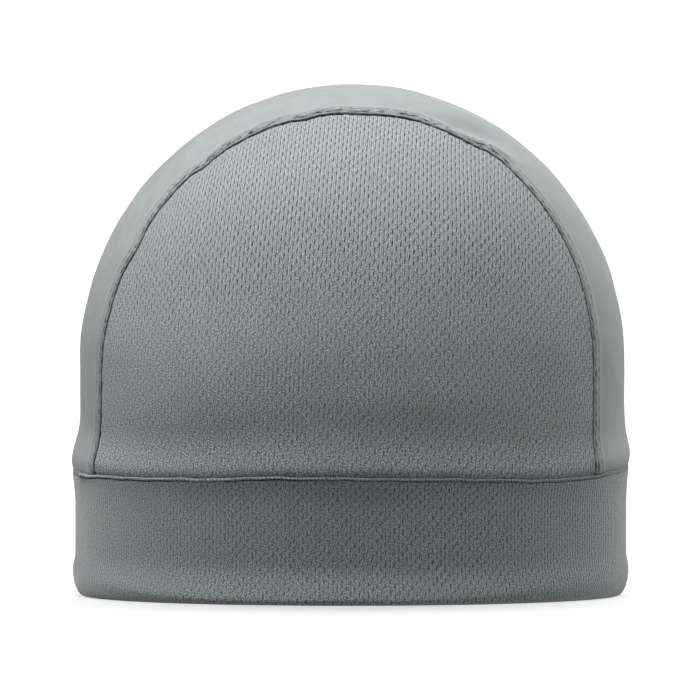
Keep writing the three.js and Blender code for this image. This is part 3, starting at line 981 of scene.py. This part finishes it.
def rolled_knit(name, hex_colour):
    """Finish for the rolled edge, with painted shade in its darker colour, its notch
    and its underside. The notch is (0.5 + 0.5 cos(winding))^3, where the winding is
    the turns plus the angle, as in the ridge's shape. Towards the cap's front and back
    the edge is pressed flat, its painted shade is lifted, and it takes the cloth's own
    tone."""
    finish, tree, shader = new_finish(name, 0.85, 0.15)
    weave = weave_map(tree)
    turns, angle = axes(weave)[:2]
    winding = turns * (2 * math.pi) + angle * NOTCH_SLANT
    # The notch is painted darker, as shade in its groove.
    notch = maths("POWER", maths("COSINE", winding) * 0.5 + 0.5, 3.0)
    specks = noise(scaled(weave, 2.6, 0.9), 1.0, 1.0, 0.8) - 0.5
    # The underside is painted darker, as shade.
    under = smooth_ramp(angle, -0.4, -1.2, 0.0, 0.35)
    off_middle = maths("ABSOLUTE", axes(on_piece(tree))[0])
    # Near the front and back the painted shade is lifted, by up to 1.3 times.
    tone = (specks * 2.2 - notch * 0.45 - under + 1.0) * ramp(off_middle, 0.080, 0.085, 1.0, 1.3)
    feed(shader, {"Base Color": dyed(tone, hex_colour)})
    return finish


# The edge's colour is darker than the yarn's, as painted shade.
rolled_edge = rolled_knit("rolled_seam_edge", "#8e9495")

# %% [markdown]
# Sewing thread is spun from the same fibre but twisted hard, so it is a little smoother
# and brighter than the cloth. A diagonal wave in the thread's own place gives the twist.

# %% Sewing thread
THREAD_TWIST = 0.0006  # metres between turns of the ply


def sewing_thread(name):
    """Finish for the stitches: bands across Object coordinates stand for the ply."""
    finish, tree, shader = new_finish(name, 0.6, 0.3)
    inputs = {"Vector": on_piece(tree), "Scale": 0.5 / THREAD_TWIST, "Distortion": 1.0}
    ply = add(tree, "TexWave", inputs, wave_type="BANDS", bands_direction="DIAGONAL").outputs["Fac"]
    feed(shader, {"Base Color": blended(Tone(ply), linear("#8f9697"), linear("#bcc2c3"))})
    return finish


thread = sewing_thread("polyester_sewing_thread")

# %% [markdown]
# Each piece now gets its finish and rides on the frame's one body. The five pieces of
# cloth take the place of their plain solids.

# %% Hand the pieces to the frame
pieces = (
    (right_panel, crown_mesh, "mesh_knit", "side_panel_right"),
    (left_panel, crown_mesh, "mesh_knit", "side_panel_left"),
    (strip, jersey, "smooth_knit", "centre_panel"),
    (ridge, rolled_edge, "seam_knit", "band_seam_lip"),
    (band, band_mesh, "band_knit", "headband"),
    (right_stitches, thread, "smooth_knit", None),
    (left_stitches, thread, "smooth_knit", None),
)
for piece, finish, slot, node_name in pieces:
    piece.data.materials.append(finish)
    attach(piece, "root")
    if node_name:
        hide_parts(node_name)

panel_width = 2 * DOME_RADIUS * math.acos(ARCH_AT_BAND / DOME_RADIUS)
panel_height = SIDE_HEIGHT + DOME_RADIUS * math.acos(ARCH_AT_TOP / DOME_RADIUS)
panel_flat = (panel_width * MM, panel_height * MM)
SEMICIRCLE = math.pi / 4
for panel in (right_panel, left_panel):
    SEMICIRCLE * panel_flat[0] * panel_flat[1]
ARCH_LENGTH * MM

# %% [markdown]
# The photograph looks at the right side, a hand's breadth from level and with a long
# lens: the hem shows a shallow curve and the dome's top none. The camera stands 3 m
# away at the height where that happens, a touch towards the front.

# %% Camera
PHOTO_PIXELS = 700
PIXELS_PER_MM = 3.06
CAMERA_DISTANCE = 3.0
CAMERA_TURN = math.radians(2.2)
CAMERA_HEIGHT = 0.120
AIM = (-0.0007, 0.0, 0.080)
SENSOR = 36.0

camera_data = bpy.data.cameras.new("camera")
camera_data.sensor_width = SENSOR
camera_data.lens = SENSOR * CAMERA_DISTANCE / (PHOTO_PIXELS / PIXELS_PER_MM * MM)
camera_data.clip_end = 50.0
camera = placed("camera", camera_data)
camera.location = (
    AIM[0] + CAMERA_DISTANCE * math.sin(CAMERA_TURN),
    AIM[1] - CAMERA_DISTANCE * math.cos(CAMERA_TURN),
    CAMERA_HEIGHT,
)
dip = math.atan2(CAMERA_HEIGHT - AIM[2], CAMERA_DISTANCE)
camera.rotation_euler = (math.pi / 2 - dip, 0.0, CAMERA_TURN)
bpy.context.scene.camera = camera
print(f"lens {camera_data.lens:.0f} mm")

# %% [markdown]
# The studio is a white floor that runs on without an edge, and a white surround. The
# floor and the surround only show themselves: their bounce is left out, which keeps
# the cap's face as dark as in the photograph. The floor also glows a little, so that
# the cap's shadow on it stays faint.

# %% Floor and surround
FLOOR_REACH = 40.0
FLOOR_GLOW = 0.64
corners = [(x * FLOOR_REACH, y * FLOOR_REACH, 0) for x, y in ((-1, -1), (1, -1), (1, 1), (-1, 1))]
floor_mesh = bpy.data.meshes.new("floor")
floor_mesh.from_pydata(corners, [], [(0, 1, 2, 3)])
floor = placed("floor", floor_mesh)
paint = bpy.data.materials.new("white_studio_floor")
paint.use_nodes = True
feed(paint.node_tree.nodes["Principled BSDF"], {
    "Base Color": linear("#eeeeee"), "Roughness": 1.0, "Specular IOR Level": 0.0,
    "Emission Color": WHITE, "Emission Strength": FLOOR_GLOW,
})
floor_mesh.materials.append(paint)
floor.visible_diffuse = False
floor.visible_glossy = False
floor.visible_shadow = False
print(f"floor {2 * FLOOR_REACH:.0f} m wide")

world = bpy.data.worlds.new("white surround")
bpy.context.scene.world = world
world.use_nodes = True
feed(world.node_tree.nodes["Background"], {"Color": WHITE, "Strength": 1.2})
world.cycles_visibility.diffuse = False
world.cycles_visibility.glossy = False
bpy.context.scene.view_settings.view_transform = "Standard"

# %% [markdown]
# The light is soft and comes mostly from above, with softboxes at the right, so the
# cap's face is its darkest part. A softbox is a sun as wide as its spread in degrees.
# Each light reaches only what its collection holds: the softboxes the cap, a weak
# bounce from below the band with its hem, and one light from behind the floor, where
# it leaves the short shadow in front of the hem.

# %% Lights
LIGHTS = (
    ("overhead", (0.0, 0.0, 1.0), 1.42, 60.0, (1.0, 0.955, 0.95)),
    ("top_left", (-0.8, 0.0, 1.0), 2.13, 60.0, (1.0, 0.98, 0.98)),
    ("top_front", (0.0, -0.7, 1.0), 0.93, 60.0, WHITE[:3]),
    ("right", (1.0, 0.0, 0.25), 0.75, 50.0, WHITE[:3]),
    ("right_back", (0.7, 1.0, 0.25), 1.05, 40.0, WHITE[:3]),
    ("floor_bounce", (0.0, 0.0, -1.0), 1.1, 60.0, WHITE[:3]),
    ("floor_light", (0.0, 1.0, 1.2), 2.7, 60.0, WHITE[:3]),
)  # each: name, where it comes from, strength, spread in degrees and colour


def lit(name, things):
    """A collection of what a light reaches."""
    group = bpy.data.collections.new(name)
    for thing in things:
        group.objects.link(thing)
    return group


on_cap = lit("lit_by_the_softboxes", [entry[0] for entry in pieces])
receivers = {"floor_bounce": lit("lit_by_the_bounce", [band]),
             "floor_light": lit("lit_by_the_floor_light", [floor])}
for name, (x, y, z), strength, spread, colour in LIGHTS:
    light_data = bpy.data.lights.new(name, "SUN")
    light_data.energy = strength
    light_data.angle = math.radians(spread)
    light_data.color = colour
    light = placed(name, light_data)
    light.rotation_euler = (math.atan2(math.hypot(x, y), z), 0.0, math.atan2(y, x) + math.pi / 2)
    light.light_linking.receiver_collection = receivers.get(name, on_cap)
print("lights:", [entry[0] for entry in LIGHTS])

# %% Finish
bpy.context.view_layer.update()
